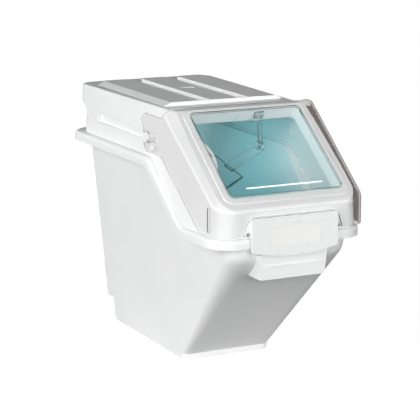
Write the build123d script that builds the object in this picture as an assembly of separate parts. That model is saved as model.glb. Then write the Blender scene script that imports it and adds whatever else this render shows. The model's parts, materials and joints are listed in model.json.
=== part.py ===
"""Shelf ingredient bin: slant-front tub, lift-off lid with a sloping window, clear hood and scoop.

Millimetres. X is across the bin, -Y is its front, +Z is up. The origin is on the floor, in the
middle of the bin's length and width.
"""

import os
from math import atan2, cos, degrees, radians, sin, tan

from build123d import *

os.makedirs("parts", exist_ok=True)


# Overall sizes
overall_length = 572.0
rim_rear_half_width = 144.0
rim_front_half_width = 136.0
lid_top_z = 430.0

# Gaps between pieces
seat_gap = 0.3
slide_gap = 0.3
running_gap = 0.05
hang_gap = 0.1
button_gap = 0.2

# Tub
tub_wall = 3.0
tub_floor = 4.0
tub_floor_half_width = 80.0
tub_side_draft = 6.76
foot_front_setback = 228.0
foot_band_height = 9.6
front_wall_angle = 44.24
belt_setback = 10.0
belt_bend_radius = 38.0
belt_bend_steps = 6
tub_rear_setback = 29.0
foot_rear_setback = 53.0
foot_rear_height = 42.0
front_corner_radius_low = 10.6
front_corner_growth = 0.0926
rear_corner_radius_low = 12.0
rear_corner_growth = 0.04

# Rim round the mouth of the tub
rim_front_setback = 6.0
rim_rear_top_z = 347.5
rim_front_top_z = 255.5
rim_slope_angle = 38.6
rim_slope_setback = 249.0
rim_bend_radius = 40.0
rim_height = 16.0
rim_shelf = 3.0
rim_lip = 3.0
rim_front_corner_radius = 45.0
rim_rear_corner_radius = 40.0
rim_edge_radius = 6.5
bead_height = 4.0
bead_thickness = 2.5
bead_front_setback = 70.0

# Front grip under the label plate
grip_front_setback = 7.0
grip_bottom_z = 187.0
grip_top_z = 228.0
grip_bottom_half_width = 57.0
grip_top_half_width = 62.0
grip_root_half_width = 67.0
grip_wall = 3.0
grip_ridge_z = 207.0
grip_ridge_height = 4.0
grip_ridge_proud = 1.5
grip_ridge_half_width = 52.0

# Lid
lid_wall = 3.0
lid_front_setback = 11.0
lid_rear_setback = 36.0
lid_lip_setback = 9.3
lid_lip_drop = 32.0
lid_lip_chamfer = 8.0
lid_bend_setback = 246.0
lid_bend_radius = 600.0
lid_low_rear_half_width = 135.7
lid_low_bend_half_width = 144.7
lid_low_front_half_width = 122.8
lid_top_rear_half_width = 127.4
lid_top_bend_half_width = 118.8
lid_top_front_half_width = 113.0
lid_front_corner_radius = 28.0
lid_rear_corner_radius = 20.0
lid_lip_corner_radius = 27.0
lid_nose_radius = 14.0
lid_inner_edge_radius = 1.0

# Raised pads on the lid's top
pad_height = 6.0
pad_half_width = 25.0
pad_outer_near = 46.5
pad_outer_far = 97.0
pad_shoulder = 14.0
pad_rear_setback = 49.0
pad_front_setback = 245.0
pad_end_radius = 8.0
pad_bar = 4.0
pad_mark_length = 26.0
pad_mark_width = 14.0
pad_mark_depth = 0.6

# Side tracks that the hood's pins run in
track_share = 0.394
track_height = 16.0
track_front_setback = 236.0
track_length = 240.0
track_floor_half_width = 122.5
track_wall = 3.0

# Sloping window opening and its bezel
window_top_setback = 177.0
window_top_drop = 4.5
window_foot_rise = 47.2
window_half_width = 101.0
window_foot_margin = 21.5
window_corner_radius = 9.0
bezel_border = 10.0
bezel_top_border = 6.0
bezel_proud = 2.0
bezel_collar_depth = 24.0
bezel_collar_wall = 2.5
bezel_edge_radius = 0.8

# Clear hood
hood_wall = 3.0
hood_front_half_width = 133.0
hood_rear_half_width = 138.5
hood_front_setback = 6.0
hood_bend_setback = 177.0
hood_bend_radius = 600.0
hood_rise = 4.7
hood_rear_margin = 11.0
hood_nose_z = 259.5
hood_corner_radius = 27.0
hood_edge_radius = 17.0
hood_side_foot_setback = 70.0
hood_arm_rim_gap = 9.5
hood_arm_start_setback = 198.5
hood_arm_top_drop = 11.0
hood_arm_end_setback = 263.0
hood_arm_radius = 16.0
hood_ear_setback = 258.5
hood_ear_drop = 12.0
hood_ear_radius = 12.5
hood_slot_setback = 37.0
hood_slot_z = 284.0
hood_slot_length = 40.0
hood_slot_width = 8.0
hood_slot_depth = 1.2
notch_top_half_width = 78.6
notch_foot_half_width = 89.0
notch_top_z = 289.5
notch_corner_radius = 15.0

# Tinted window pane set in the hood
pane_thickness = 2.0
pane_lap = 3.0
pane_bar_half_width = 68.0
pane_bar_foot_gap = 15.0
pane_bar_width = 2.4
pane_bar_proud = 0.8

# Pivot pins and closing buttons of the hood
pivot_setback = 254.0
pin_radius = 5.0
pin_head_radius = 8.0
pin_head_thickness = 2.0
pin_boss_radius = 10.0
pin_boss_height = 2.0
button_setback = 231.0
button_rise = 9.0
button_radius = 4.0
button_head = 1.2
button_shank_radius = 2.5
button_tip = 1.0

# Label plate on the nose of the lid
plate_half_width = 76.5
plate_top_z = 288.0
plate_corner_z = 234.0
plate_bow = 10.0
plate_thickness = 4.0
plate_corner_radius = 6.0
plate_crease_z = 281.0
plate_crease_width = 1.6
plate_crease_depth = 0.6
ear_x = 81.0
ear_z = 263.0
ear_radius = 4.5
ear_thickness = 4.0
rivet_radius = 1.6
rivet_head_radius = 3.0
rivet_head_height = 1.2
label_half_width = 44.0
label_height = 30.0
label_thickness = 0.8
label_corner_radius = 4.0
label_z = 256.0

# Scoop hook under the top of the window
hook_x = 31.0
hook_half_width = 9.0
hook_thickness = 3.0
hook_top_depth = 5.0
hook_bottom_depth = 27.0
hook_rivet_spacing = 10.0
hook_rivet_depth = 14.0
stem_half_width = 3.0
stem_thickness = 4.5
peg_radius = 3.5
peg_tip = 2.0

# Scoop hanging in the bin
scoop_x = 37.0
scoop_slope = 28.0
scoop_depth = 58.0
scoop_angle = 28.5
scoop_ring_radius = 9.0
scoop_thickness = 6.0
scoop_handle_length = 84.0
scoop_handle_start = 5.0
scoop_handle_width = 19.0
scoop_handle_corner = 6.0
scoop_handle_web = 2.5
scoop_bowl_length = 60.0
scoop_bowl_radius = 30.0
scoop_wall = 2.0
scoop_mouth_rake = 16.0

# Cradle that the scoop's bowl rests in, on the left side of the window
lug_slope = 90.5
lug_length = 63.0
lug_reach = 11.5
lug_thickness = 3.0
lug_depth = 2.0
lug_boss_inset = 4.0
lug_boss_radius = 4.5
lug_boss_length = 14.0
lug_screw_radius = 1.8
lug_screw_head_radius = 3.4
lug_screw_head_height = 1.4
lug_screw_length = 12.0
tongue_slope = 98.0
tongue_width = 16.0
tongue_thickness = 3.0
saddle_reach = 30.0
saddle_width = 28.0
saddle_height = 18.0
saddle_floor = 3.0


# Places worked out from the sizes above
front_y = -overall_length / 2
rear_y = overall_length / 2
foot_front_y = front_y + foot_front_setback
belt_y = front_y + belt_setback
tub_rear_y = rear_y - tub_rear_setback
foot_rear_y = rear_y - foot_rear_setback
rim_slope_y = front_y + rim_slope_setback
lid_front_y = front_y + lid_front_setback
lid_rear_y = rear_y - lid_rear_setback
lid_lip_y = rear_y - lid_lip_setback
lid_low_z = rim_front_top_z - rim_height
window_top_y = front_y + window_top_setback
window_top_z = lid_top_z - window_top_drop
window_rise = window_top_z - rim_front_top_z - window_foot_rise
window_angle = degrees(atan2(window_rise, window_top_y - lid_front_y))
window_length = (window_top_y - lid_front_y) / cos(radians(window_angle)) - window_foot_margin
hood_front_y = front_y + hood_front_setback
hood_inner_half_width = hood_rear_half_width - hood_wall
hood_arm_z = rim_rear_top_z + hood_arm_rim_gap
hood_arm_top_z = lid_top_z - hood_arm_top_drop
pivot_y = front_y + pivot_setback
track_z = rim_rear_top_z + track_share * (lid_top_z - rim_rear_top_z)
pivot_z = track_z
button_y = front_y + button_setback
button_z = hood_arm_z + button_rise
lug_boss_x = lug_boss_inset - window_half_width
slope_cos = cos(radians(window_angle))
slope_sin = sin(radians(window_angle))
far = 2 * overall_length

# Plane of the window: X across, Y up the slope, Z out of the bin
window_plane = Plane(
    origin=(0, window_top_y, window_top_z),
    x_dir=(1, 0, 0),
    z_dir=(0, -slope_sin, slope_cos),
)


def slope_point(down, depth):
    """(y, z) of a point `down` the slope from the top of the window and `depth` below its plane."""
    y = window_top_y - down * slope_cos + depth * slope_sin
    z = window_top_z - down * slope_sin - depth * slope_cos
    return y, z


def slope_z(y, depth):
    """Height at y of the plane that lies `depth` below the window's plane."""
    return window_top_z - depth / slope_cos + (y - window_top_y) * slope_sin / slope_cos


def slope_y(z, depth):
    """Place at height z of the plane that lies `depth` below the window's plane."""
    return window_top_y + (z - window_top_z + depth / slope_cos) * slope_cos / slope_sin


def plan_face(z, front_half, rear_half, y_front, y_rear, front_radius, rear_radius):
    """Level four-sided face with rounded corners."""
    corners = [(-front_half, y_front), (front_half, y_front), (rear_half, y_rear), (-rear_half, y_rear)]
    radii = [front_radius, front_radius, rear_radius, rear_radius]
    return Pos(0, 0, z) * make_face(FilletPolyline(*corners, radius=radii, close=True))


def side_prism(points, half_width, radius=0):
    """Solid with the given outline in side view, running across the bin."""
    outline = FilletPolyline(*points, radius=radius, close=True)
    return extrude(Plane.YZ * make_face(outline), amount=half_width, both=True)


def window_slab(half_width, down_from, down_to, depth_from, depth_to, radius):
    """Rounded rectangular slab parallel to the window."""
    height = down_to - down_from
    sketch = RectangleRounded(2 * half_width, height, radius)
    middle = Pos(0, -(down_from + down_to) / 2, -depth_to)
    return extrude(window_plane * middle * sketch, amount=depth_to - depth_from)


def rod(x, y, z, direction, radius, length):
    """Round rod from a point along a direction."""
    return extrude(Plane(origin=(x, y, z), z_dir=direction) * Circle(radius), amount=length)


# Tub
def tub_half_width(z):
    return tub_floor_half_width + z * tan(radians(tub_side_draft))


def tub_front_profile(inset, z_low, z_high):
    """(y, z) points up the middle of the front wall, with the bend into the belt as a round stretch."""
    angle = radians(front_wall_angle)
    turn = radians(90 - front_wall_angle)
    corner_z = foot_band_height + (foot_front_y - belt_y) * tan(angle)
    centre_y = belt_y + belt_bend_radius
    centre_z = corner_z + belt_bend_radius * tan(turn / 2)
    radius = belt_bend_radius - inset
    start_y = centre_y - radius * cos(turn)
    start_z = centre_z - radius * sin(turn)
    points = [(start_y + (start_z - z_low) / tan(angle), z_low)]
    for step in range(belt_bend_steps + 1):
        share = turn * (1 - step / belt_bend_steps)
        points.append((centre_y - radius * cos(share), centre_z - radius * sin(share)))
    points.append((belt_y + inset, z_high))
    return points


def tub_section(y, z, inset, rear):
    """Level section of the tub at height z, with its front at y."""
    half = tub_half_width(z) - inset
    front_radius = front_corner_radius_low + front_corner_growth * z - inset
    rear_radius = rear_corner_radius_low + rear_corner_growth * z - inset
    return plan_face(z, half, half, y, rear, front_radius, rear_radius)


def tub_stack(inset, z_low):
    """Outer form of the tub, or its inside when inset by the wall."""
    z_split = foot_rear_height + inset
    profile = tub_front_profile(inset, z_split, rim_rear_top_z + rim_height)
    upper = loft([tub_section(y, z, inset, tub_rear_y - inset) for y, z in profile], ruled=True)
    lower_points = [profile[0]]
    band_y = tub_front_profile(inset, foot_band_height, rim_rear_top_z)[0][0]
    lower_points.insert(0, (band_y, foot_band_height))
    lower_points.insert(0, (band_y, z_low))
    lower = loft([tub_section(y, z, inset, foot_rear_y - inset) for y, z in lower_points], ruled=True)
    return lower + upper


def rim_line(lowered):
    """Side view of the rim's top, lowered square to itself, from the rear to the front."""
    shift = lowered * tan(radians(rim_slope_angle) / 2)
    rise = rim_rear_top_z - rim_front_top_z
    run = rise / tan(radians(rim_slope_angle))
    high_y = rim_slope_y + shift
    low_y = rim_slope_y - run + shift
    points = [
        (far, rim_rear_top_z - lowered),
        (high_y, rim_rear_top_z - lowered),
        (low_y, rim_front_top_z - lowered),
        (-far, rim_front_top_z - lowered),
    ]
    radii = [0, rim_bend_radius - lowered, rim_bend_radius + lowered, 0]
    return points, radii


def below_rim(lowered):
    """Everything below the rim's line."""
    points, radii = rim_line(lowered)
    points = points + [(-far, -far), (far, -far)]
    radii = radii + [0, 0]
    return side_prism(points, far, radii)


def rim_plan(inset):
    """Upright solid with the rim's outline from above."""
    face = plan_face(
        0,
        rim_front_half_width - inset,
        rim_rear_half_width - inset,
        front_y + rim_front_setback + inset,
        rear_y - inset,
        rim_front_corner_radius - inset,
        rim_rear_corner_radius - inset,
    )
    return extrude(face, amount=lid_top_z)


def lid_section(z, inset, rear, rear_radius):
    """Level section of the lid's form, drawn in towards the top, with its rear at the given y."""
    share = (z - lid_low_z) / (lid_top_z - lid_low_z)
    bend_y = front_y + lid_bend_setback
    front_half = lid_low_front_half_width + share * (lid_top_front_half_width - lid_low_front_half_width)
    bend_half = lid_low_bend_half_width + share * (lid_top_bend_half_width - lid_low_bend_half_width)
    rear_half = lid_low_rear_half_width + share * (lid_top_rear_half_width - lid_low_rear_half_width)
    rear_half += (rear - lid_rear_y) * (rear_half - bend_half) / (lid_rear_y - bend_y)
    corners = [
        (-front_half + inset, lid_front_y + inset),
        (front_half - inset, lid_front_y + inset),
        (bend_half - inset, bend_y),
        (rear_half - inset, rear - inset),
        (-rear_half + inset, rear - inset),
        (-bend_half + inset, bend_y),
    ]
    front = lid_front_corner_radius - inset
    corner = rear_radius - inset
    radii = [front, front, lid_bend_radius, corner, corner, lid_bend_radius]
    return Pos(0, 0, z) * make_face(FilletPolyline(*corners, radius=radii, close=True))


def lid_main_loft(inset):
    """Lid's form without the lip at its rear."""
    levels = (lid_low_z, lid_top_z)
    return loft([lid_section(z, inset, lid_rear_y, lid_rear_corner_radius) for z in levels], ruled=True)


def make_tub():
    outside = tub_stack(0, 0) & below_rim(0)
    shell = rim_plan(0) & below_rim(0)
    shell -= below_rim(rim_height)
    shell -= rim_plan(rim_lip) & below_rim(rim_shelf)
    top_edges = [edge for edge in shell.edges() if on_rim_outline(edge)]
    shell = fillet(top_edges, rim_edge_radius)
    bead_out = lid_wall + seat_gap
    bead = lid_main_loft(bead_out) - lid_main_loft(bead_out + bead_thickness)
    bead &= below_rim(-bead_height)
    bead -= below_rim(rim_shelf / 2)
    bead &= Pos(0, front_y + bead_front_setback + far / 2, 0) * Box(far, far, far)
    tub = outside + shell
    tub -= tub_stack(tub_wall, tub_floor)
    return tub + bead


def on_rim_outline(edge):
    """True for an edge that runs round the top outside of the rim."""
    middle = edge @ 0.5
    inside = rim_plan(rim_lip / 2)
    if inside.is_inside(Vector(middle.X, middle.Y, lid_top_z / 2)):
        return False
    points = [edge @ 0, middle, edge @ 1]
    return all(abs(point.Z - rim_top_at(point.Y)) < rim_shelf / 2 for point in points)


def rim_top_at(y):
    """Height of the rim's top at y, rounded bends included."""
    angle = radians(rim_slope_angle)
    run = (rim_rear_top_z - rim_front_top_z) / tan(angle)
    reach = rim_bend_radius * tan(angle / 2)
    low_y = rim_slope_y - run
    if y > rim_slope_y + reach:
        return rim_rear_top_z
    if y > rim_slope_y - reach * cos(angle):
        drop = rim_bend_radius - (rim_bend_radius**2 - (rim_slope_y + reach - y) ** 2) ** 0.5
        return rim_rear_top_z - drop
    if y > low_y + reach * cos(angle):
        return rim_rear_top_z - (rim_slope_y - y) * tan(angle)
    if y > low_y - reach:
        rise = rim_bend_radius - (rim_bend_radius**2 - (y - low_y + reach) ** 2) ** 0.5
        return rim_front_top_z + rise
    return rim_front_top_z


def make_front_grip():
    grip_y = front_y + grip_front_setback

    def block(inset, z_low, z_high):
        faces = []
        for z in (z_low, z_high):
            share = (z - grip_bottom_z) / (grip_top_z - grip_bottom_z)
            front_half = grip_bottom_half_width + share * (grip_top_half_width - grip_bottom_half_width)
            outline = Polyline(
                (-front_half + inset, grip_y + inset),
                (front_half - inset, grip_y + inset),
                (grip_root_half_width - inset, foot_front_y),
                (-grip_root_half_width + inset, foot_front_y),
                close=True,
            )
            faces.append(Pos(0, 0, z) * make_face(outline))
        return loft(faces, ruled=True)

    grip = block(0, grip_bottom_z, grip_top_z)
    grip -= block(grip_wall, grip_bottom_z - grip_wall, grip_top_z - grip_wall)
    ridge = Box(2 * grip_ridge_half_width, 2 * grip_ridge_proud, grip_ridge_height)
    grip += Pos(0, grip_y, grip_ridge_z) * ridge
    return grip - tub_stack(0, 0)


# Lid
def lid_side_outline(inset):
    """Side view of the lid."""
    bezel_bed = bezel_proud + inset
    top_z = lid_top_z - inset
    nose_y = lid_front_y + inset
    return [
        (far, top_z),
        (slope_y(top_z, bezel_bed), top_z),
        (nose_y, slope_z(nose_y, bezel_bed)),
        (nose_y, lid_low_z),
        (far, lid_low_z),
    ]


def lid_form(inset):
    """Lid's outer form with the lip at its rear, or its inside when inset by the wall."""
    lip_z = lid_top_z - lid_lip_drop
    sections = [
        lid_section(lid_low_z, inset, lid_rear_y, lid_rear_corner_radius),
        lid_section(lip_z - lid_lip_chamfer, inset, lid_rear_y, lid_rear_corner_radius),
        lid_section(lip_z + inset, inset, lid_lip_y, lid_lip_corner_radius),
        lid_section(lid_top_z, inset, lid_lip_y, lid_lip_corner_radius),
    ]
    radii = [0, 0, lid_nose_radius - inset, 0, 0]
    form = loft(sections, ruled=True) & side_prism(lid_side_outline(inset), far, radii)
    return round_lid_top(form, lid_inner_edge_radius + lid_wall - inset)


def round_lid_top(form, radius):
    """Rounds the edges of the form's level top along the sides and the rear."""
    top = form.faces().sort_by(Axis.Z)[-1]
    front = top.edges().sort_by(Axis.Y)[0]
    return fillet([edge for edge in top.edges() if edge != front], radius)


def pad_block(x_low, x_high, inset):
    """One raised pad, or the hollow under it when inset by the wall."""
    y_front = front_y + pad_front_setback + inset
    y_rear = rear_y - pad_rear_setback - inset
    width = x_high - x_low - 2 * inset
    length = y_rear - y_front
    sketch = RectangleRounded(width, length, pad_end_radius - inset)
    base_z = lid_top_z - lid_wall - inset
    return Pos((x_low + x_high) / 2, (y_front + y_rear) / 2, base_z) * extrude(
        sketch, amount=pad_height + lid_wall
    )


def pad_shoulder_block(side):
    """Sloping outer shoulder of an outer pad."""
    y_front = front_y + pad_front_setback
    y_rear = rear_y - pad_rear_setback - pad_end_radius
    outline = Polyline(
        (side * (pad_outer_far - pad_end_radius), lid_top_z - lid_wall / 2),
        (side * (pad_outer_far - pad_end_radius), lid_top_z + pad_height),
        (side * pad_outer_far, lid_top_z + pad_height),
        (side * (pad_outer_far + pad_shoulder), lid_top_z),
        (side * (pad_outer_far + pad_shoulder), lid_top_z - lid_wall / 2),
        close=True,
    )
    face = Plane(origin=(0, y_front, 0), x_dir=(1, 0, 0), z_dir=(0, -1, 0)) * make_face(outline)
    return extrude(face, amount=-(y_rear - y_front))


def make_lid():
    lid = lid_form(0) - lid_form(lid_wall)
    lid -= below_rim(-seat_gap)
    pads = [
        (-pad_outer_far, -pad_outer_near),
        (-pad_half_width, pad_half_width),
        (pad_outer_near, pad_outer_far),
    ]
    for low, high in pads:
        lid += pad_block(low, high, 0)
    for side in (-1, 1):
        lid += pad_shoulder_block(side)
    y_bar = front_y + pad_front_setback + pad_bar / 2
    bar_height = pad_height + lid_wall / 2
    bar = Box(2 * pad_outer_far, pad_bar, bar_height)
    lid += Pos(0, y_bar, lid_top_z + pad_height - bar_height / 2) * bar
    for low, high in pads:
        lid -= pad_block(low, high, lid_wall)
    mark = Ellipse(pad_mark_length / 2, pad_mark_width / 2)
    mark_y = (front_y + pad_front_setback + rear_y - pad_rear_setback) / 2
    lid -= Pos(0, mark_y, lid_top_z + pad_height - pad_mark_depth) * extrude(mark, amount=pad_mark_depth)
    track_y = front_y + track_front_setback + track_length / 2
    rail_inner = track_floor_half_width - track_wall
    rail_outer = lid_low_rear_half_width
    rail_width = rail_outer - rail_inner
    inside = lid_form(lid_wall / 2)
    for side in (-1, 1):
        rail = Box(rail_width, track_length + 2 * track_wall, track_height + 2 * track_wall)
        lid += (Pos(side * (rail_inner + rail_width / 2), track_y, track_z) * rail) & inside
        groove = Box(far, track_length, track_height)
        lid -= Pos(side * (track_floor_half_width + far / 2), track_y, track_z) * groove
    collar = bezel_collar_wall + seat_gap
    lid -= window_slab(
        window_half_width + collar,
        -collar,
        window_length + collar,
        -bezel_proud,
        bezel_proud + 2 * lid_wall,
        window_corner_radius + collar,
    )
    for side in (-1, 1):
        lid -= rod(side * ear_x, lid_front_y - seat_gap, ear_z, (0, 1, 0), rivet_radius, 2 * lid_wall)
    return lid


def make_window_bezel():
    collar = bezel_collar_wall
    bezel = window_slab(
        window_half_width + bezel_border,
        -bezel_top_border,
        window_length + bezel_border,
        0,
        bezel_proud,
        window_corner_radius + bezel_top_border,
    )
    top_face = bezel.faces().sort_by(Axis(window_plane.origin, window_plane.z_dir))[-1]
    bezel = fillet(top_face.edges(), bezel_edge_radius)
    bezel += window_slab(
        window_half_width + collar,
        -collar,
        window_length + collar,
        bezel_proud / 2,
        bezel_collar_depth,
        window_corner_radius + collar,
    )
    bezel -= window_slab(
        window_half_width, 0, window_length, -bezel_proud, 2 * bezel_collar_depth, window_corner_radius
    )
    inward = (0, slope_sin, -slope_cos)
    boss_y, boss_z = slope_point(lug_slope, lug_depth + lug_thickness)
    boss = rod(lug_boss_x, boss_y, boss_z, inward, lug_boss_radius, lug_boss_length)
    hole_length = lug_screw_length - lug_thickness
    hole = rod(lug_boss_x, boss_y, boss_z, inward, lug_screw_radius, hole_length)
    return bezel + boss - hole - hook_rivet_shanks(-collar, collar)


# Hood and what rides on it
def hood_form(inset):
    """Solid wedge with the hood's outer form, or its inside when inset by the wall."""
    depth = inset - hood_rise
    nose_y = hood_front_y + inset
    bend_y = front_y + hood_bend_setback
    rear_end_y = front_y + hood_arm_end_setback + hood_corner_radius
    front_half = hood_front_half_width - inset
    rear_half = hood_rear_half_width - inset
    corners = [
        (-front_half, nose_y),
        (front_half, nose_y),
        (rear_half, bend_y),
        (rear_half, rear_end_y),
        (-rear_half, rear_end_y),
        (-rear_half, bend_y),
    ]
    corner_radius = hood_corner_radius - inset
    radii = [corner_radius, corner_radius, hood_bend_radius, 0, 0, hood_bend_radius]
    plan = extrude(make_face(FilletPolyline(*corners, radius=radii, close=True)), amount=far)
    outline = [
        (rear_end_y, slope_z(rear_end_y, depth)),
        (nose_y, slope_z(nose_y, depth)),
        (nose_y, hood_nose_z - hood_wall),
        (rear_end_y, hood_nose_z - hood_wall),
    ]
    form = plan & side_prism(outline, far)
    top_face = form.faces().sort_by(Axis(window_plane.origin, window_plane.z_dir))[-1]
    rear_edge = top_face.edges().sort_by(Axis.Y)[-1]
    long_edges = [edge for edge in top_face.edges() if edge != rear_edge]
    return fillet(long_edges, hood_edge_radius - inset)


def hood_half_width(setback):
    """Half width of the hood in its tapered front part, by the distance from the bin's front."""
    share = (setback - hood_front_setback) / (hood_bend_setback - hood_front_setback)
    return hood_front_half_width + share * (hood_rear_half_width - hood_front_half_width)


def hood_side_outline():
    """Side view of what is left of the hood's walls."""
    arm_end_y = front_y + hood_arm_end_setback
    before_y = hood_front_y - hood_wall
    top_y, top_z = slope_point(-hood_rear_margin, -hood_rise - hood_wall)
    cut_y = top_y + (top_z - hood_arm_top_z) * slope_sin / slope_cos
    points = [
        (before_y, hood_nose_z),
        (front_y + hood_side_foot_setback, hood_nose_z),
        (front_y + hood_arm_start_setback, hood_arm_z),
        (arm_end_y, hood_arm_z),
        (arm_end_y, hood_arm_top_z),
        (cut_y, hood_arm_top_z),
        (top_y, top_z),
        (before_y, top_z),
    ]
    radii = [0, hood_arm_radius, hood_arm_radius, hood_arm_radius, 0, hood_wall, 0, 0]
    return points, radii


def make_hood():
    hood = hood_form(0) - hood_form(hood_wall)
    points, radii = hood_side_outline()
    ear_place = Pos(front_y + hood_ear_setback, hood_arm_top_z - hood_ear_drop)
    ear = Plane.YZ * ear_place * Circle(hood_ear_radius)
    hood &= side_prism(points, far, radii) + extrude(ear, amount=far, both=True)
    notch = FilletPolyline(
        (-notch_foot_half_width, hood_nose_z - hood_wall),
        (-notch_top_half_width, notch_top_z),
        (notch_top_half_width, notch_top_z),
        (notch_foot_half_width, hood_nose_z - hood_wall),
        radius=[0, notch_corner_radius, notch_corner_radius, 0],
        close=True,
    )
    notch_plane = Plane(origin=(0, hood_front_y - hood_wall, 0), x_dir=(1, 0, 0), z_dir=(0, -1, 0))
    hood -= extrude(notch_plane * make_face(notch), amount=-3 * hood_wall)
    hood -= pane_slab(button_gap, -2 * hood_rise, pane_thickness - hood_rise)
    hood -= pane_slab(-pane_lap, -2 * hood_rise, hood_rise)
    for side in (-1, 1):
        outward = (side, 0, 0)
        inner = side * hood_inner_half_width
        boss_x = inner - side * pin_boss_height
        hood += rod(boss_x, pivot_y, pivot_z, outward, pin_boss_radius, pin_boss_height + hood_wall / 2)
        bore_length = pin_boss_height + 2 * hood_wall
        hood -= rod(boss_x, pivot_y, pivot_z, outward, pin_radius + running_gap, bore_length)
        hood -= rod(inner, button_y, button_z, outward, button_shank_radius, 2 * hood_wall)
        slot = SlotOverall(hood_slot_length, hood_slot_width, rotation=90)
        slot_x = hood_half_width(hood_slot_setback) - hood_slot_depth
        slot_origin = (side * slot_x, front_y + hood_slot_setback, hood_slot_z)
        slot_plane = Plane(origin=slot_origin, x_dir=(0, 1, 0), z_dir=(side, 0, 0))
        hood -= extrude(slot_plane * slot, amount=hood_wall)
    return hood


def pane_slab(grow, depth_from, depth_to):
    """Slab with the pane's outline, grown all round, between two depths below the window's plane."""
    return window_slab(
        window_half_width + grow,
        -grow,
        window_length + grow,
        depth_from,
        depth_to,
        window_corner_radius + grow,
    )


def make_window_pane():
    pane = pane_slab(0, -hood_rise, pane_thickness - hood_rise)
    bar_down = window_length - pane_bar_foot_gap
    bar = window_slab(
        pane_bar_half_width,
        bar_down - pane_bar_width / 2,
        bar_down + pane_bar_width / 2,
        -hood_rise - pane_bar_proud,
        pane_thickness / 2 - hood_rise,
        pane_bar_width / 3,
    )
    return pane + bar


def make_pivot_pin(side):
    """Snap-in pin: runs in the lid's track, turns in the hood."""
    tip_from = track_floor_half_width + slide_gap
    tip_to = hood_inner_half_width - pin_boss_height - slide_gap
    head_from = hood_rear_half_width + slide_gap
    tip_radius = track_height / 2 - slide_gap
    pin = rod(side * tip_from, pivot_y, pivot_z, (side, 0, 0), tip_radius, tip_to - tip_from)
    pin += rod(side * tip_to, pivot_y, pivot_z, (side, 0, 0), pin_radius, head_from - tip_to)
    pin += rod(side * head_from, pivot_y, pivot_z, (side, 0, 0), pin_head_radius, pin_head_thickness)
    return pin


def make_stop_button(side):
    """Small snap-in button on the hood's arm."""
    tip_x = hood_inner_half_width - button_tip
    shank = hood_wall + button_tip
    button = rod(side * tip_x, button_y, button_z, (side, 0, 0), button_shank_radius, shank)
    head_x = side * hood_rear_half_width
    return button + rod(head_x, button_y, button_z, (side, 0, 0), button_radius, button_head)


# Label plate and its fasteners
def make_label_plate():
    outline = FilletPolyline(
        (-plate_half_width, plate_corner_z),
        (-plate_half_width, plate_top_z),
        (plate_half_width, plate_top_z),
        (plate_half_width, plate_corner_z),
        radius=[plate_corner_radius, plate_corner_radius],
    )
    bow = ThreePointArc(
        (plate_half_width, plate_corner_z),
        (0, plate_corner_z - plate_bow),
        (-plate_half_width, plate_corner_z),
    )
    face_plane = Plane(origin=(0, front_y, 0), x_dir=(1, 0, 0), z_dir=(0, -1, 0))
    depth = lid_front_setback
    plate = extrude(face_plane * make_face(outline + bow), amount=-depth)
    hollow_half = plate_half_width - plate_thickness
    hollow_top = plate_top_z - plate_thickness
    hollow_bottom = plate_corner_z - 2 * plate_bow
    hollow = Box(2 * hollow_half, depth, hollow_top - hollow_bottom)
    plate -= Pos(0, front_y + plate_thickness + depth / 2, (hollow_top + hollow_bottom) / 2) * hollow
    skirt_top = rim_front_top_z + 2 * seat_gap
    skirt = Box(4 * plate_half_width, depth, skirt_top - hollow_bottom)
    plate -= Pos(0, front_y + plate_thickness + depth / 2, (skirt_top + hollow_bottom) / 2) * skirt
    for side in (-1, 1):
        ear_y = lid_front_y - ear_thickness
        plate += rod(side * ear_x, ear_y, ear_z, (0, 1, 0), ear_radius, ear_thickness)
        web = Box(ear_x - plate_half_width + plate_thickness / 2, ear_thickness, 2 * ear_radius)
        web_x = side * (plate_half_width - plate_thickness / 2 + ear_x) / 2
        plate += Pos(web_x, ear_y + ear_thickness / 2, ear_z) * web
        plate -= rod(side * ear_x, ear_y - ear_thickness, ear_z, (0, 1, 0), rivet_radius, far)
    crease = Box(2 * plate_half_width, 2 * plate_crease_depth, plate_crease_width)
    plate -= Pos(0, front_y, plate_crease_z) * crease
    return plate - label_slab(button_gap, label_thickness)


def make_plate_rivets():
    """Two push rivets through the plate's ears into the lid's nose."""
    rivets = []
    for side in (-1, 1):
        head_y = lid_front_y - ear_thickness
        x = side * ear_x
        top_y = head_y - rivet_head_height
        rivet = rod(x, top_y, ear_z, (0, 1, 0), rivet_head_radius, rivet_head_height)
        shank = ear_thickness + lid_wall + rivet_head_height
        rivet += rod(x, head_y, ear_z, (0, 1, 0), rivet_radius, shank)
        rivets.append(rivet)
    return Compound(children=rivets)


def label_slab(grow, depth):
    """Slab with the label's outline, grown all round, from the plate's face to a depth."""
    face_plane = Plane(origin=(0, front_y, label_z), x_dir=(1, 0, 0), z_dir=(0, -1, 0))
    width = 2 * (label_half_width + grow)
    sketch = RectangleRounded(width, label_height + 2 * grow, label_corner_radius + grow)
    return extrude(face_plane * sketch, amount=-depth)


def make_label_blank():
    """Plain write-on label stuck in a shallow recess of the plate."""
    return label_slab(0, label_thickness)


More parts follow.
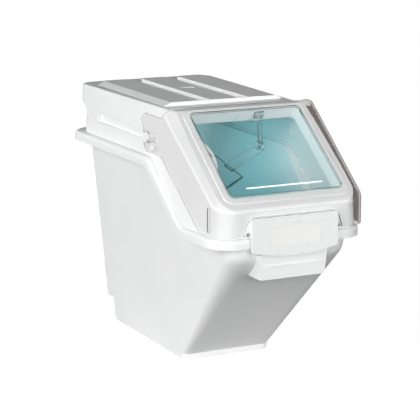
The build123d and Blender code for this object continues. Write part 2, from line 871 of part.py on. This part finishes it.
# Scoop, its hook and its cradle
def make_scoop_hook():
    corner = hook_thickness / 3
    tab = window_slab(hook_half_width, 0, hook_thickness, hook_top_depth, hook_bottom_depth, corner)
    hook = Pos(hook_x, 0, 0) * tab
    ring_top = scoop_depth - scoop_thickness / 2 - slide_gap
    stem_points = [
        slope_point(0, hook_bottom_depth - stem_thickness),
        slope_point(hook_thickness, hook_bottom_depth - stem_thickness),
        slope_point(scoop_slope + stem_thickness / 2, ring_top - stem_thickness),
        slope_point(scoop_slope + stem_thickness / 2, ring_top),
        slope_point(scoop_slope - stem_thickness / 2, ring_top),
        slope_point(0, hook_bottom_depth),
    ]
    hook += Pos(scoop_x, 0, 0) * side_prism(stem_points, stem_half_width)
    y, z = slope_point(scoop_slope, ring_top - stem_thickness / 2)
    peg_length = scoop_thickness + stem_thickness / 2 + slide_gap + peg_tip
    inward = (0, slope_sin, -slope_cos)
    hook += rod(scoop_x, y, z, inward, peg_radius, peg_length)
    return hook - hook_rivet_shanks(0, hook_thickness)


def hook_rivet_shanks(start, length):
    """Shanks of the hook's two rivets, along the slope from `start`."""
    up = (0, slope_cos, slope_sin)
    shanks = []
    for side in (-1, 1):
        y, z = slope_point(start + length, hook_rivet_depth)
        shanks.append(rod(hook_x + side * hook_rivet_spacing / 2, y, z, up, rivet_radius, length))
    return shanks[0] + shanks[1]


def make_hook_rivets():
    """Two rivets through the hook's tab and the bezel's collar."""
    up = (0, slope_cos, slope_sin)
    rivets = []
    for side in (-1, 1):
        x = hook_x + side * hook_rivet_spacing / 2
        y, z = slope_point(hook_thickness + rivet_head_height, hook_rivet_depth)
        rivet = rod(x, y, z, up, rivet_head_radius, rivet_head_height)
        rivet += rod(x, y, z, up, rivet_radius, rivet_head_height + hook_thickness + bezel_collar_wall)
        rivets.append(rivet)
    return Compound(children=rivets)


def scoop_plane():
    """Plane of the hanging scoop: origin at its ring, X towards the bowl, Z out of the bin."""
    angle = radians(scoop_angle)
    y, z = slope_point(scoop_slope, scoop_depth)
    return Plane(
        origin=(scoop_x, y, z),
        x_dir=(-cos(angle), -sin(angle) * slope_cos, -sin(angle) * slope_sin),
        z_dir=window_plane.z_dir,
    )


def scoop_round(radius, start, length):
    """Round bar on the bowl's own axis, in the scoop's plane."""
    lifted = Pos(start, 0, scoop_thickness / 2)
    return lifted * extrude(Plane.YZ * Circle(radius), amount=length)


def make_scoop():
    length = scoop_handle_length - scoop_handle_start + scoop_wall
    middle = scoop_handle_start + length / 2
    bar_outline = RectangleRounded(length, scoop_handle_width, scoop_handle_corner)
    bar = extrude(bar_outline, amount=scoop_thickness / 2, both=True)
    hollow = extrude(offset(bar_outline, -scoop_wall), amount=scoop_thickness)
    scoop = Pos(middle, 0, 0) * bar
    scoop -= Pos(middle, 0, scoop_handle_web - scoop_thickness / 2) * hollow
    scoop += extrude(Circle(scoop_ring_radius), amount=scoop_thickness / 2, both=True)
    bowl = scoop_round(scoop_bowl_radius, scoop_handle_length, scoop_bowl_length)
    above = Box(4 * scoop_bowl_length, 4 * scoop_bowl_radius, 4 * scoop_bowl_radius)
    above_z = scoop_thickness / 2 + 2 * scoop_bowl_radius
    bowl -= Pos(scoop_handle_length, 0, above_z) * above
    bowl -= scoop_round(
        scoop_bowl_radius - scoop_wall, scoop_handle_length + scoop_wall, scoop_bowl_length
    )
    mouth_end = scoop_handle_length + scoop_bowl_length
    mouth = Polyline(
        (mouth_end, scoop_thickness / 2 - scoop_bowl_radius),
        (mouth_end - scoop_mouth_rake, scoop_thickness / 2),
        (mouth_end + scoop_mouth_rake, scoop_thickness / 2),
        (mouth_end + scoop_mouth_rake, scoop_thickness / 2 - scoop_bowl_radius),
        close=True,
    )
    bowl -= extrude(Plane.XZ * make_face(mouth), amount=scoop_bowl_radius, both=True)
    scoop += bowl
    scoop -= extrude(Circle(peg_radius + hang_gap), amount=scoop_thickness, both=True)
    return scoop_plane() * scoop


def make_scoop_cradle():
    """Lug beside the window with a tongue and a saddle that the bowl lies in."""
    left = -window_half_width
    lug = Ellipse(lug_reach, lug_length / 2)
    lug -= Pos(-lug_reach, 0) * Rectangle(2 * lug_reach, 2 * lug_length)
    lug_place = Pos(left, -lug_slope, -lug_depth - lug_thickness)
    cradle = extrude(window_plane * lug_place * lug, amount=lug_thickness)
    bottom_depth = scoop_depth - scoop_thickness / 2 + scoop_bowl_radius + seat_gap + saddle_floor
    tongue = window_slab(
        tongue_thickness / 2,
        tongue_slope,
        tongue_slope + tongue_width,
        lug_depth,
        bottom_depth,
        tongue_thickness / 4,
    )
    cradle += Pos(left + tongue_thickness / 2, 0, 0) * tongue
    saddle = window_slab(
        saddle_reach / 2,
        tongue_slope,
        tongue_slope + saddle_width,
        bottom_depth - saddle_height,
        bottom_depth,
        tongue_thickness / 2,
    )
    saddle = Pos(left + saddle_reach / 2, 0, 0) * saddle
    bowl = scoop_round(scoop_bowl_radius + seat_gap, 0, 3 * scoop_bowl_length)
    cradle += saddle - scoop_plane() * bowl
    inward = (0, slope_sin, -slope_cos)
    screw_y, screw_z = slope_point(lug_slope, 0)
    return cradle - rod(lug_boss_x, screw_y, screw_z, inward, lug_screw_radius, lug_boss_length)


def make_cradle_screw():
    """Screw that holds the cradle's lug on the bezel's boss."""
    inward = (0, slope_sin, -slope_cos)
    head_y, head_z = slope_point(lug_slope, lug_depth - lug_screw_head_height)
    screw = rod(lug_boss_x, head_y, head_z, inward, lug_screw_head_radius, lug_screw_head_height)
    shank = lug_screw_head_height + lug_screw_length
    return screw + rod(lug_boss_x, head_y, head_z, inward, lug_screw_radius, shank)


nodes = {
    "tub": make_tub(),
    "front_grip": make_front_grip(),
    "lid": make_lid(),
    "window_bezel": make_window_bezel(),
    "hood": make_hood(),
    "window_pane": make_window_pane(),
    "pivot_pin_left": make_pivot_pin(-1),
    "pivot_pin_right": make_pivot_pin(1),
    "stop_button_left": make_stop_button(-1),
    "stop_button_right": make_stop_button(1),
    "label_plate": make_label_plate(),
    "plate_rivets": make_plate_rivets(),
    "label_blank": make_label_blank(),
    "scoop_hook": make_scoop_hook(),
    "hook_rivets": make_hook_rivets(),
    "scoop_cradle": make_scoop_cradle(),
    "cradle_screw": make_cradle_screw(),
    "scoop": make_scoop(),
}
for name, shape in nodes.items():
    export_step(shape, f"parts/{name}.step")
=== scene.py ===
"""Looks of the ingredient bin: its materials, a pale floor, soft light and the camera."""

import json
import math

import bpy
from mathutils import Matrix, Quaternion, Vector

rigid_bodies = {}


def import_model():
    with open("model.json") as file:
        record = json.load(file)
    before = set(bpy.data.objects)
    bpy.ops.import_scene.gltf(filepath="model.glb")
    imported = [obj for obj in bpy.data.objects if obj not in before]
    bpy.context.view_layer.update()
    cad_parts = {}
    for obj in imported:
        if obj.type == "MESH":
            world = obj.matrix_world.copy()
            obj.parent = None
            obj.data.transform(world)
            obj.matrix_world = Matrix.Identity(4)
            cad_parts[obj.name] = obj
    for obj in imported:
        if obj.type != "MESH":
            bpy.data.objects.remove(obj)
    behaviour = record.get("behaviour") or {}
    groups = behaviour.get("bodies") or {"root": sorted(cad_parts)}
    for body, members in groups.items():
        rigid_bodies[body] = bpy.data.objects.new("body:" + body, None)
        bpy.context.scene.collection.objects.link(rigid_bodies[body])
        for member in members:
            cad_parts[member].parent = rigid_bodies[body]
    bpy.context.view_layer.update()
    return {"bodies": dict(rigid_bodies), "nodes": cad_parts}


# Camera at the photograph's viewing angle: metres, degrees, and millimetres for lens and sensor
CAMERA_PLACE = (-1.3279, -2.5895, 0.8732)
CAMERA_AZIMUTH = -27.081
CAMERA_ELEVATION = 12.288
CAMERA_ROLL = 0.347
CAMERA_LENS = 150.24
CAMERA_SENSOR = 36.0

# Floor: how bright the camera sees it, how dark its shadow can be, and what light it gives back
FLOOR_HALF_SIZE = 60.0
FLOOR_GLOW = 0.93
FLOOR_TONE = 0.2
FLOOR_BOUNCE_NEAR = 0.2
FLOOR_BOUNCE_FAR = 0.025
FLOOR_NEAR = 0.1
FLOOR_FAR = 0.45

# Sky: how bright the camera sees it, its bright band by height, and its dim far side
SKY_SEEN = 1.0
SKY_BAND = 5.3
SKY_ZENITH = 0.08
SKY_BAND_LOW = 0.2
SKY_BAND_HIGH = 0.55
SKY_BRIGHT_WAY = (-0.7, -0.7, 0.0)
SKY_FAR_SIDE = 0.25
SKY_FAR_SIDE_MIRRORED = 0.02
SKY_SIDE_LOW = -0.4
SKY_SIDE_HIGH = 0.6

# Floor and sky as seen through clear plastic, painted grey through one wall and dark through two:
# painted dark refraction of surroundings that are not there. A ray crosses two surfaces in each wall, so
# one that has crossed more than ONE_WALL has come through two walls.
BEYOND_ONE_WALL_PAINTED_GREY = (0.6, 0.585, 0.58)
BEYOND_TWO_WALLS_PAINTED_DARK = (0.13, 0.095, 0.09)
ONE_WALL = 2.5

# Soft lamp at the left of the front
KEY_PLACE = (-2.4, -1.5, 1.5)
KEY_AIM = (0.0, -0.1, 0.25)
KEY_SIZE = 1.0
KEY_WATTS = 20.0

# Blue-green light inside the bin, as the photograph shows it; it rides on the lid
INSIDE_PLACE = (-0.02, 0.05, 0.33)
INSIDE_COLOUR = (0.06, 0.8, 0.93)
INSIDE_RADIUS = 0.05
INSIDE_WATTS = 0.17

# Scales of the moulded surface, in metres
GRAIN_SIZE = 0.0008
GRAIN_DEPTH = 0.00002
FINE_GRAIN_DEPTH = GRAIN_DEPTH / 2
WAVE_SIZE = GRAIN_SIZE * 10
CLOUD_SIZE = 0.12
SHEEN_SIZE = CLOUD_SIZE / 6
HAZE_SIZE = CLOUD_SIZE / 8
STEEL_CLOUD_SIZE = CLOUD_SIZE / 20

# Noise: its octaves, and the part of its range that runs from one end of a ramp to the other
CLOUD_DETAIL = 3.0
GRAIN_DETAIL = 4.0
NOISE_LOW = 0.3
NOISE_HIGH = 0.7

# How far roughness strays to each side of its middle
SHEEN_SPREAD = 0.12
HAZE_SPREAD = 0.3

# Opaque plastics and steel: darkest and lightest tone, and roughness
BODY_TONES = ((0.84, 0.85, 0.85), (0.88, 0.885, 0.88))
BODY_ROUGHNESS = 0.42
LID_TONES = ((0.82, 0.83, 0.83), (0.87, 0.875, 0.87))
LID_ROUGHNESS = 0.38
TRIM_TONES = ((0.86, 0.87, 0.87), (0.9, 0.905, 0.9))
TRIM_ROUGHNESS = 0.3
LABEL_TONES = ((0.88, 0.88, 0.87), (0.92, 0.92, 0.91))
LABEL_ROUGHNESS = 0.5
PIN_ROUGHNESS = 0.35
STEEL_TONES = ((0.62, 0.62, 0.62), (0.74, 0.74, 0.73))
STEEL_SMOOTHEST = 0.22
STEEL_ROUGHEST = 0.38

# Clear plastics: deepest and lightest tint, tint seen edge on, and roughness
HOOD_TINTS = ((0.985, 0.985, 0.985), (0.995, 0.995, 0.995))
# The hood's near-black edge tint is painted shade: dark surroundings refracted in its edges, painted
# into its colour
HOOD_PAINTED_DARK_EDGE = (0.03, 0.02, 0.02)
HOOD_ROUGHNESS = 0.03
PANE_TINTS = ((0.95, 0.99, 0.99), (0.97, 0.995, 0.995))
PANE_EDGE = (0.6, 0.75, 0.78)
PANE_ROUGHNESS = 0.02
SCOOP_TINTS = ((0.93, 0.98, 0.985), (0.96, 0.985, 0.99))
SCOOP_EDGE = (0.75, 0.92, 0.93)
SCOOP_ROUGHNESS = 0.05
PLASTIC_IOR = 1.5
PANE_IOR = 1.45

# How nearly edge on clear plastic turns to its edge tint: where it starts and where it is full
EDGE_START = 0.6
EDGE_FULL = 0.85

# The window pane's outer face: its normal and its distance from the origin, and the rib on it. The rib
# is a real moulded ridge; its white colour and glow are a painted highlight.
PANE_NORMAL = (0.0, -0.594718, 0.803935)
PANE_TOP = 0.41160
RIB_CLEAR = 0.0002
RIB_HIGHLIGHT_WHITE = (0.95, 0.96, 0.96)
RIB_ROUGHNESS = 0.3
RIB_PAINTED_HIGHLIGHT_GLOW = 0.5


def new_material(name):
    """Material whose surface is one Principled shader, and that shader."""
    material = bpy.data.materials.new(name)
    material.use_nodes = True
    nodes = material.node_tree.nodes
    nodes.clear()
    shader = nodes.new("ShaderNodeBsdfPrincipled")
    output = nodes.new("ShaderNodeOutputMaterial")
    material.node_tree.links.new(shader.outputs["BSDF"], output.inputs["Surface"])
    return material, shader


def add_noise(material, size, detail=CLOUD_DETAIL):
    """Noise over the object's own coordinates, with features about `size` metres across."""
    nodes, links = material.node_tree.nodes, material.node_tree.links
    place = nodes.new("ShaderNodeTexCoord")
    noise = nodes.new("ShaderNodeTexNoise")
    noise.inputs["Scale"].default_value = 1.0 / size
    noise.inputs["Detail"].default_value = detail
    links.new(place.outputs["Object"], noise.inputs["Vector"])
    return noise.outputs["Fac"]


def add_map(tree, value, start, end, low, high, interpolation="LINEAR"):
    """Map Range node that runs from `low` to `high` as the value goes from `start` to `end`."""
    span = tree.nodes.new("ShaderNodeMapRange")
    span.interpolation_type = interpolation
    span.inputs["From Min"].default_value = start
    span.inputs["From Max"].default_value = end
    span.inputs["To Min"].default_value = low
    span.inputs["To Max"].default_value = high
    tree.links.new(value, span.inputs["Value"])
    return span


def noise_colour(material, noise, tones):
    """Colour that wanders between two tones with the noise."""
    ramp = material.node_tree.nodes.new("ShaderNodeValToRGB")
    for element, position, tone in zip(ramp.color_ramp.elements, (NOISE_LOW, NOISE_HIGH), tones):
        element.position = position
        element.color = (*tone, 1.0)
    material.node_tree.links.new(noise, ramp.inputs["Fac"])
    return ramp.outputs["Color"]


def noise_value(material, noise, low, high):
    """Number that wanders between `low` and `high` with the noise."""
    return add_map(material.node_tree, noise, NOISE_LOW, NOISE_HIGH, low, high).outputs["Result"]


def add_uneven_roughness(material, shader, size, roughness, spread):
    """Roughness that strays by a share of itself to each side, in patches of the given size."""
    low, high = roughness * (1 - spread), roughness * (1 + spread)
    patches = noise_value(material, add_noise(material, size), low, high)
    material.node_tree.links.new(patches, shader.inputs["Roughness"])


def add_grain(material, shader, size, depth):
    """Moulded grain or waves as bump."""
    nodes, links = material.node_tree.nodes, material.node_tree.links
    bump = nodes.new("ShaderNodeBump")
    bump.inputs["Distance"].default_value = depth
    bump.inputs["Strength"].default_value = 1.0
    links.new(add_noise(material, size, GRAIN_DETAIL), bump.inputs["Height"])
    links.new(bump.outputs["Normal"], shader.inputs["Normal"])


def plastic(name, tones, roughness, grain_depth=GRAIN_DEPTH):
    """Opaque moulded plastic: cloudy tone, uneven sheen and fine grain."""
    material, shader = new_material(name)
    cloud = add_noise(material, CLOUD_SIZE)
    tone = noise_colour(material, cloud, tones)
    material.node_tree.links.new(tone, shader.inputs["Base Color"])
    add_uneven_roughness(material, shader, SHEEN_SIZE, roughness, SHEEN_SPREAD)
    shader.inputs["IOR"].default_value = PLASTIC_IOR
    add_grain(material, shader, GRAIN_SIZE, grain_depth)
    return material


def steel(name):
    """Plain bright steel with fine turning marks."""
    material, shader = new_material(name)
    links = material.node_tree.links
    cloud = add_noise(material, STEEL_CLOUD_SIZE)
    links.new(noise_colour(material, cloud, STEEL_TONES), shader.inputs["Base Color"])
    sheen = noise_value(material, cloud, STEEL_SMOOTHEST, STEEL_ROUGHEST)
    links.new(sheen, shader.inputs["Roughness"])
    shader.inputs["Metallic"].default_value = 1.0
    add_grain(material, shader, GRAIN_SIZE, GRAIN_DEPTH)
    return material


def edge_tint(material, tint, edge):
    """Tint that turns to the edge colour where the surface is seen nearly edge on."""
    nodes, links = material.node_tree.nodes, material.node_tree.links
    weight = nodes.new("ShaderNodeLayerWeight")
    weight.inputs["Blend"].default_value = 0.5
    span = add_map(material.node_tree, weight.outputs["Facing"], EDGE_START, EDGE_FULL, 0.0, 1.0)
    mix = nodes.new("ShaderNodeMix")
    mix.data_type = "RGBA"
    links.new(span.outputs["Result"], mix.inputs["Factor"])
    links.new(tint, mix.inputs["A"])
    mix.inputs["B"].default_value = (*edge, 1.0)
    return mix.outputs["Result"]


def mix_shaders(tree, factor, first, second):
    """Shader that goes from the first to the second as the factor goes from 0 to 1."""
    mix = tree.nodes.new("ShaderNodeMixShader")
    tree.links.new(factor, mix.inputs["Fac"])
    tree.links.new(first, mix.inputs[1])
    tree.links.new(second, mix.inputs[2])
    return mix.outputs["Shader"]


def rib_painted_highlight(material, surface):
    """Adds the pane's rib as a bright white line, a painted highlight that glows: what stands proud of
    the pane's outer face.
    """
    nodes, links = material.node_tree.nodes, material.node_tree.links
    place = nodes.new("ShaderNodeTexCoord")
    height = nodes.new("ShaderNodeVectorMath")
    height.operation = "DOT_PRODUCT"
    height.inputs[1].default_value = PANE_NORMAL
    links.new(place.outputs["Object"], height.inputs[0])
    proud = nodes.new("ShaderNodeMath")
    proud.operation = "GREATER_THAN"
    proud.inputs[1].default_value = PANE_TOP + RIB_CLEAR
    links.new(height.outputs["Value"], proud.inputs[0])
    white = nodes.new("ShaderNodeBsdfPrincipled")
    white.inputs["Base Color"].default_value = (*RIB_HIGHLIGHT_WHITE, 1.0)
    white.inputs["Roughness"].default_value = RIB_ROUGHNESS
    white.inputs["Emission Color"].default_value = (*RIB_HIGHLIGHT_WHITE, 1.0)
    white.inputs["Emission Strength"].default_value = RIB_PAINTED_HIGHLIGHT_GLOW
    return mix_shaders(material.node_tree, proud.outputs["Value"], surface, white.outputs["BSDF"])


def clear_plastic(name, tints, edge, roughness, ior=PLASTIC_IOR, grain_depth=GRAIN_DEPTH, ribbed=False):
    """See-through plastic with a faint uneven tint, slight haze and waves.

    Diffuse and shadow rays pass straight through it, so it lights what lies behind.
    """
    material, shader = new_material(name)
    nodes, links = material.node_tree.nodes, material.node_tree.links
    cloud = add_noise(material, CLOUD_SIZE)
    tint = noise_colour(material, cloud, tints)
    links.new(edge_tint(material, tint, edge), shader.inputs["Base Color"])
    add_uneven_roughness(material, shader, HAZE_SIZE, roughness, HAZE_SPREAD)
    shader.inputs["Transmission Weight"].default_value = 1.0
    shader.inputs["IOR"].default_value = ior
    add_grain(material, shader, WAVE_SIZE, grain_depth)
    through = nodes.new("ShaderNodeBsdfTransparent")
    links.new(tint, through.inputs["Color"])
    path = nodes.new("ShaderNodeLightPath")
    surface = shader.outputs["BSDF"]
    for kind in ("Is Diffuse Ray", "Is Shadow Ray"):
        surface = mix_shaders(material.node_tree, path.outputs[kind], surface, through.outputs["BSDF"])
    # The rib gets a painted highlight: glowing white where it stands proud of the pane
    if ribbed:
        surface = rib_painted_highlight(material, surface)
    output = next(node for node in nodes if node.type == "OUTPUT_MATERIAL")
    links.new(surface, output.inputs["Surface"])
    return material


def dress(frame):
    """Puts each node's material on it."""
    body = plastic("body_white", BODY_TONES, BODY_ROUGHNESS)
    lid = plastic("lid_white", LID_TONES, LID_ROUGHNESS)
    trim = plastic("trim_white", TRIM_TONES, TRIM_ROUGHNESS, FINE_GRAIN_DEPTH)
    label = plastic("label_film", LABEL_TONES, LABEL_ROUGHNESS)
    pin = plastic("pin_white", TRIM_TONES, PIN_ROUGHNESS)
    fixings = steel("fixing_steel")
    hood = clear_plastic("hood_clear", HOOD_TINTS, HOOD_PAINTED_DARK_EDGE, HOOD_ROUGHNESS)
    pane = clear_plastic(
        "pane_tinted", PANE_TINTS, PANE_EDGE, PANE_ROUGHNESS, PANE_IOR, FINE_GRAIN_DEPTH, ribbed=True
    )
    scoop = clear_plastic("scoop_clear", SCOOP_TINTS, SCOOP_EDGE, SCOOP_ROUGHNESS)
    chosen = {
        "tub": body,
        "front_grip": body,
        "lid": lid,
        "window_bezel": trim,
        "label_plate": trim,
        "label_blank": label,
        "scoop_hook": scoop,
        "scoop_cradle": trim,
        "plate_rivets": fixings,
        "hook_rivets": fixings,
        "cradle_screw": fixings,
        "pivot_pin_left": pin,
        "pivot_pin_right": pin,
        "stop_button_left": pin,
        "stop_button_right": pin,
        "hood": hood,
        "window_pane": pane,
        "scoop": scoop,
    }
    for name, material in chosen.items():
        mesh = frame["nodes"][name].data
        mesh.materials.clear()
        mesh.materials.append(material)


def painted_shade_beyond_clear(tree):
    """Painted shade: colour of what lies beyond clear plastic, light grey through one wall, dark through
    two.
    """
    path = tree.nodes.new("ShaderNodeLightPath")
    thick = tree.nodes.new("ShaderNodeMath")
    thick.operation = "GREATER_THAN"
    thick.inputs[1].default_value = ONE_WALL
    tree.links.new(path.outputs["Transmission Depth"], thick.inputs[0])
    mix = tree.nodes.new("ShaderNodeMix")
    mix.data_type = "RGBA"
    tree.links.new(thick.outputs["Value"], mix.inputs["Factor"])
    mix.inputs["A"].default_value = (*BEYOND_ONE_WALL_PAINTED_GREY, 1.0)
    mix.inputs["B"].default_value = (*BEYOND_TWO_WALLS_PAINTED_DARK, 1.0)
    return mix.outputs["Result"]


def by_ray(tree, seen, lighting, behind):
    """Shader that is `seen` by the camera, `behind` through clear plastic, and else `lighting`."""
    path = tree.nodes.new("ShaderNodeLightPath")
    unseen = mix_shaders(tree, path.outputs["Is Transmission Ray"], lighting, behind)
    return mix_shaders(tree, path.outputs["Is Camera Ray"], unseen, seen)


def floor_bounce(tree):
    """Strength of the light that comes back off the floor: strongest round the bin's foot."""
    place = tree.nodes.new("ShaderNodeTexCoord")
    distance = tree.nodes.new("ShaderNodeVectorMath")
    distance.operation = "LENGTH"
    tree.links.new(place.outputs["Object"], distance.inputs[0])
    away = distance.outputs["Value"]
    ends = (FLOOR_NEAR, FLOOR_FAR, FLOOR_BOUNCE_NEAR, FLOOR_BOUNCE_FAR)
    return add_map(tree, away, *ends, "SMOOTHSTEP").outputs["Result"]


def floor_material():
    """Pale glow that still takes a faint shadow, and that lights the bin from below."""
    material = bpy.data.materials.new("floor_pale")
    material.use_nodes = True
    tree = material.node_tree
    nodes, links = tree.nodes, tree.links
    nodes.clear()
    glow = nodes.new("ShaderNodeEmission")
    glow.inputs["Strength"].default_value = FLOOR_GLOW
    matt = nodes.new("ShaderNodeBsdfDiffuse")
    matt.inputs["Color"].default_value = (FLOOR_TONE, FLOOR_TONE, FLOOR_TONE, 1.0)
    seen = nodes.new("ShaderNodeAddShader")
    links.new(glow.outputs["Emission"], seen.inputs[0])
    links.new(matt.outputs["BSDF"], seen.inputs[1])
    bounce = nodes.new("ShaderNodeEmission")
    links.new(floor_bounce(tree), bounce.inputs["Strength"])
    behind = nodes.new("ShaderNodeEmission")
    links.new(painted_shade_beyond_clear(tree), behind.inputs["Color"])
    chosen = by_ray(tree, seen.outputs["Shader"], bounce.outputs["Emission"], behind.outputs["Emission"])
    output = nodes.new("ShaderNodeOutputMaterial")
    links.new(chosen, output.inputs["Surface"])
    return material


def make_floor():
    """Plain pale floor, far wider than the view."""
    half = FLOOR_HALF_SIZE
    mesh = bpy.data.meshes.new("floor")
    corners = [(-half, -half, 0), (half, -half, 0), (half, half, 0), (-half, half, 0)]
    mesh.from_pydata(corners, [], [(0, 1, 2, 3)])
    mesh.materials.append(floor_material())
    floor = bpy.data.objects.new("floor", mesh)
    bpy.context.scene.collection.objects.link(floor)


def sky_strength(tree):
    """Brightness of the sky: bright low down at the left and the front, dim overhead."""
    nodes, links = tree.nodes, tree.links
    place = nodes.new("ShaderNodeTexCoord")
    parts = nodes.new("ShaderNodeSeparateXYZ")
    links.new(place.outputs["Generated"], parts.inputs["Vector"])
    ends = (SKY_BAND_LOW, SKY_BAND_HIGH, SKY_BAND, SKY_ZENITH)
    height = add_map(tree, parts.outputs["Z"], *ends, "SMOOTHSTEP")
    way = nodes.new("ShaderNodeVectorMath")
    way.operation = "DOT_PRODUCT"
    way.inputs[1].default_value = SKY_BRIGHT_WAY
    links.new(place.outputs["Generated"], way.inputs[0])
    ends = (SKY_SIDE_LOW, SKY_SIDE_HIGH, SKY_FAR_SIDE, 1.0)
    side = add_map(tree, way.outputs["Value"], *ends, "SMOOTHSTEP")
    path = nodes.new("ShaderNodeLightPath")
    far_side = nodes.new("ShaderNodeMath")
    far_side.operation = "MULTIPLY_ADD"
    far_side.inputs[1].default_value = SKY_FAR_SIDE_MIRRORED - SKY_FAR_SIDE
    far_side.inputs[2].default_value = SKY_FAR_SIDE
    links.new(path.outputs["Is Glossy Ray"], far_side.inputs[0])
    links.new(far_side.outputs["Value"], side.inputs["To Min"])
    strength = nodes.new("ShaderNodeMath")
    strength.operation = "MULTIPLY"
    links.new(height.outputs["Result"], strength.inputs[0])
    links.new(side.outputs["Result"], strength.inputs[1])
    return strength.outputs["Value"]


def make_sky():
    """Soft surroundings that light the bin and look plain white to the camera."""
    world = bpy.data.worlds.new("surroundings")
    world.use_nodes = True
    tree = world.node_tree
    tree.nodes.clear()
    seen, lighting, behind = (tree.nodes.new("ShaderNodeBackground") for _ in range(3))
    seen.inputs["Strength"].default_value = SKY_SEEN
    tree.links.new(sky_strength(tree), lighting.inputs["Strength"])
    tree.links.new(painted_shade_beyond_clear(tree), behind.inputs["Color"])
    chosen = by_ray(tree, *(shader.outputs["Background"] for shader in (seen, lighting, behind)))
    output = tree.nodes.new("ShaderNodeOutputWorld")
    tree.links.new(chosen, output.inputs["Surface"])
    bpy.context.scene.world = world


def make_key_lamp():
    """Soft lamp that models the left side and the front."""
    lamp = bpy.data.lights.new("key", "AREA")
    lamp.shape = "SQUARE"
    lamp.size = KEY_SIZE
    lamp.energy = KEY_WATTS
    holder = bpy.data.objects.new("key", lamp)
    holder.location = KEY_PLACE
    holder.rotation_mode = "QUATERNION"
    holder.rotation_quaternion = (Vector(KEY_AIM) - Vector(KEY_PLACE)).to_track_quat("-Z", "Y")
    bpy.context.scene.collection.objects.link(holder)


def make_inside_lamp(frame):
    """Small hidden lamp that gives the inside of the bin its colour."""
    lamp = bpy.data.lights.new("inside", "POINT")
    lamp.color = INSIDE_COLOUR
    lamp.shadow_soft_size = INSIDE_RADIUS
    lamp.energy = INSIDE_WATTS
    holder = bpy.data.objects.new("inside", lamp)
    holder.location = INSIDE_PLACE
    holder.visible_camera = False
    holder.visible_glossy = False
    holder.visible_transmission = False
    holder.parent = frame["bodies"]["lid"]
    bpy.context.scene.collection.objects.link(holder)


def make_camera():
    """Camera that looks as the photograph's did, with its slight roll."""
    azimuth, elevation = math.radians(CAMERA_AZIMUTH), math.radians(CAMERA_ELEVATION)
    level = math.cos(elevation)
    ahead = Vector((-math.sin(azimuth) * level, math.cos(azimuth) * level, -math.sin(elevation)))
    data = bpy.data.cameras.new("camera")
    data.lens = CAMERA_LENS
    data.sensor_width = CAMERA_SENSOR
    camera = bpy.data.objects.new("camera", data)
    camera.location = CAMERA_PLACE
    camera.rotation_mode = "QUATERNION"
    roll = Quaternion((0, 0, 1), math.radians(CAMERA_ROLL))
    camera.rotation_quaternion = ahead.to_track_quat("-Z", "Y") @ roll
    bpy.context.scene.collection.objects.link(camera)
    bpy.context.scene.camera = camera


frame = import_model()
dress(frame)
make_floor()
make_sky()
make_key_lamp()
make_inside_lamp(frame)
make_camera()
bpy.context.scene.view_settings.view_transform = "Standard"
